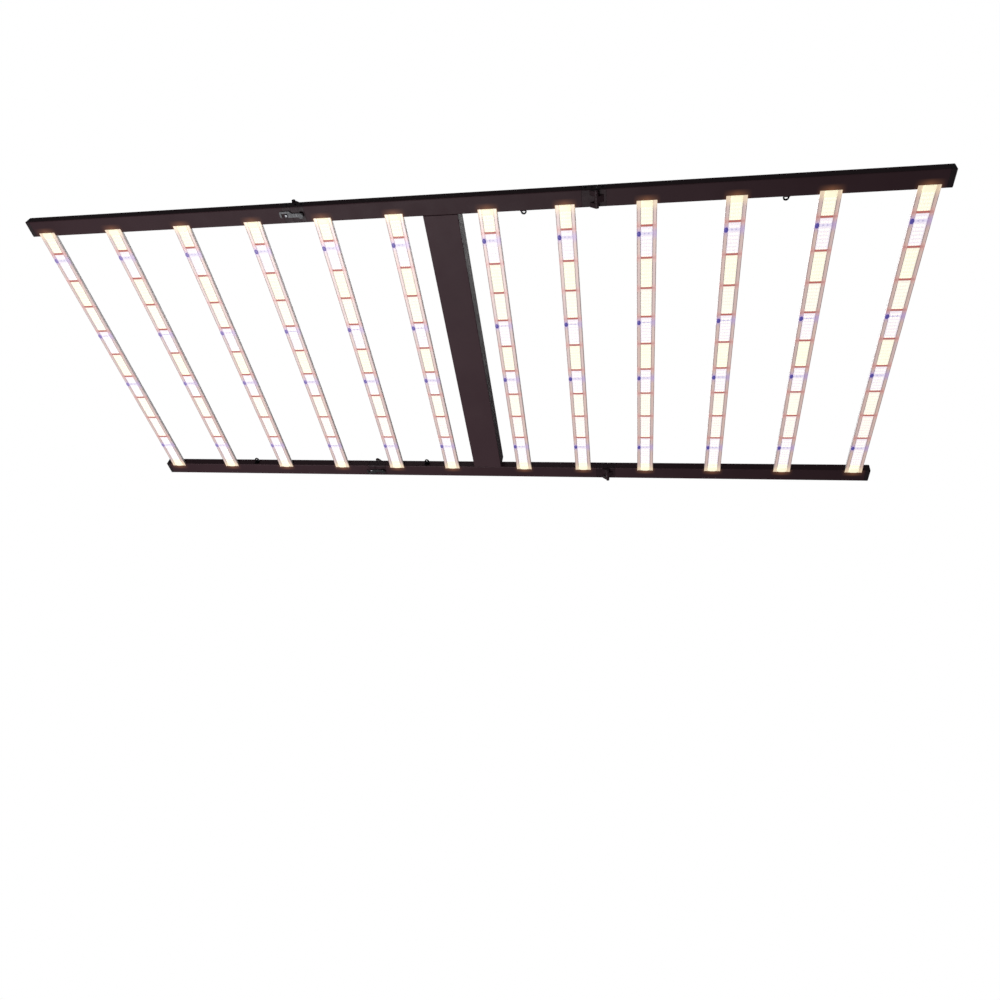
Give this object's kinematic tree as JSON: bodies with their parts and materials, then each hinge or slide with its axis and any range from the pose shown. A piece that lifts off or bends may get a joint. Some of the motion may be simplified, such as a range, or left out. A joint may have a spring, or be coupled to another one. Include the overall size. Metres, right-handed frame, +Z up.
{
  "type": "led grow light",
  "caption": "Folding LED grow light: light bars between two hinged rails, a driver housing across the middle, hook latches and hanging eyes.",
  "frame": {"origin": "centre of the driver housing lid's top face, the point that the rope hangers' lines meet above", "axes": "+Z up as it hangs with its LEDs facing down, +X along the rails towards the right wing, +Y along the bars towards the far rail"},
  "size_m": [2.236, 0.914, 0.0706],
  "materials": {
    "rail_finish": "satin dark brown powder coat on an aluminium tube",
    "bar_aluminium": "satin anodised extrusion",
    "light_strip": "clear cover over a white board with its diodes, lit",
    "housing_finish": "satin dark brown powder coat on sheet aluminium",
    "driver_case": "satin",
    "hinge_casting": "satin black coat on a zinc casting",
    "steel": "zinc plated",
    "black_steel": "black zinc plating",
    "cap_plastic": "moulded",
    "black_plastic": "moulded"
  },
  "bodies": {
    "centre_section": {"bar_5_light_strip": "light_strip", "bar_5_profile": "bar_aluminium", "bar_6_light_strip": "light_strip", "bar_6_profile": "bar_aluminium", "bar_7_light_strip": "light_strip", "bar_7_profile": "bar_aluminium", "bar_8_light_strip": "light_strip", "bar_8_profile": "bar_aluminium", "centre_far_eye": "black_steel", "centre_far_rail": "rail_finish", "centre_near_eye": "black_steel", "centre_near_rail": "rail_finish", "control_socket": "black_plastic", "driver_lid": "housing_finish", "driver_tray": "housing_finish", "far_driver": "driver_case", "left_far_centre_hinge_block": "hinge_casting", "left_near_centre_hinge_block": "hinge_casting", "mains_inlet": "black_plastic", "near_driver": "driver_case", "right_far_centre_hinge_block": "hinge_casting", "right_near_centre_hinge_block": "hinge_casting"},
    "left_wing": {"bar_1_light_strip": "light_strip", "bar_1_profile": "bar_aluminium", "bar_2_light_strip": "light_strip", "bar_2_profile": "bar_aluminium", "bar_3_light_strip": "light_strip", "bar_3_profile": "bar_aluminium", "bar_4_light_strip": "light_strip", "bar_4_profile": "bar_aluminium", "left_far_end_cap": "cap_plastic", "left_far_eye": "black_steel", "left_far_rail": "rail_finish", "left_far_wing_hinge_block": "hinge_casting", "left_near_end_cap": "cap_plastic", "left_near_rail": "rail_finish", "left_near_wing_hinge_block": "hinge_casting"},
    "right_wing": {"bar_10_light_strip": "light_strip", "bar_10_profile": "bar_aluminium", "bar_11_light_strip": "light_strip", "bar_11_profile": "bar_aluminium", "bar_12_light_strip": "light_strip", "bar_12_profile": "bar_aluminium", "bar_9_light_strip": "light_strip", "bar_9_profile": "bar_aluminium", "right_far_end_cap": "cap_plastic", "right_far_rail": "rail_finish", "right_far_wing_hinge_block": "hinge_casting", "right_near_end_cap": "cap_plastic", "right_near_eye": "black_steel", "right_near_rail": "rail_finish", "right_near_wing_hinge_block": "hinge_casting"},
    "dimmer": {"dimmer_knob": "black_plastic"},
    "left_far_latch": {"left_far_latch_hook": "steel"},
    "left_near_latch": {"left_near_latch_hook": "steel"},
    "right_far_latch": {"right_far_latch_hook": "steel"},
    "right_near_latch": {"right_near_latch_hook": "steel"}
  },
  "joints": [
    {"name": "left_fold", "type": "hinge", "parent": "centre_section", "child": "left_wing", "pos_m": [-0.372, 0, -0.014], "axis": [0, 1, 0], "range_deg": [0, 180]},
    {"name": "right_fold", "type": "hinge", "parent": "centre_section", "child": "right_wing", "pos_m": [0.372, 0, -0.052], "axis": [0, 1, 0], "range_deg": [0, 180]},
    {"name": "dimmer_turn", "type": "hinge", "parent": "centre_section", "child": "dimmer", "pos_m": [0, -0.262, 0.004], "axis": [0, 0, -1], "range_deg": [0, 290]},
    {"name": "left_near_latch_turn", "type": "hinge", "parent": "centre_section", "child": "left_near_latch", "pos_m": [-0.348, -0.434, -0.0464], "axis": [0, 0, 1], "range_deg": [0, 180]},
    {"name": "left_far_latch_turn", "type": "hinge", "parent": "centre_section", "child": "left_far_latch", "pos_m": [-0.348, 0.434, -0.0464], "axis": [0, 0, -1], "range_deg": [0, 180]},
    {"name": "right_near_latch_turn", "type": "hinge", "parent": "centre_section", "child": "right_near_latch", "pos_m": [0.348, -0.434, -0.0196], "axis": [0, 0, -1], "range_deg": [0, 180]},
    {"name": "right_far_latch_turn", "type": "hinge", "parent": "centre_section", "child": "right_far_latch", "pos_m": [0.348, 0.434, -0.0196], "axis": [0, 0, 1], "range_deg": [0, 180]}
  ]
}
